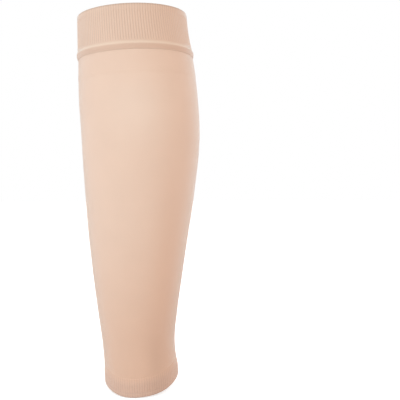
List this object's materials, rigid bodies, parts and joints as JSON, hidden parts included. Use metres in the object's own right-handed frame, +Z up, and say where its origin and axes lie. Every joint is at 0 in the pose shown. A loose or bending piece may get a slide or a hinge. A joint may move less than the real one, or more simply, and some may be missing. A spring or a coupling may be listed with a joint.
{
  "type": "calf compression sleeve",
  "caption": "Footless knitted calf compression sleeve in its worn form: ribbed knee cuff, rolled seam, smooth tapered calf tube and narrow ribbed ankle hem, open at both ends.",
  "frame": {"origin": "on the leg's axis at the middle of the knee cuff's height, where the sleeve grips the leg", "axes": "+Z up the leg towards the knee, -X the shin, +X the calf muscle, Y across the leg"},
  "size_m": [0.1127, 0.1092, 0.3467],
  "materials": {
    "cuff_rib_knit": "beige ribbed knit, matt",
    "seam_knit": "beige plain knit, rolled, matt",
    "tube_knit": "beige fine compression knit, faint sheen",
    "hem_rib_knit": "beige ribbed knit, matt"
  },
  "bodies": {
    "root": {"knee_cuff": "cuff_rib_knit", "cuff_seam": "seam_knit", "calf_tube": "tube_knit", "ankle_hem": "hem_rib_knit"}
  },
  "joints": []
}
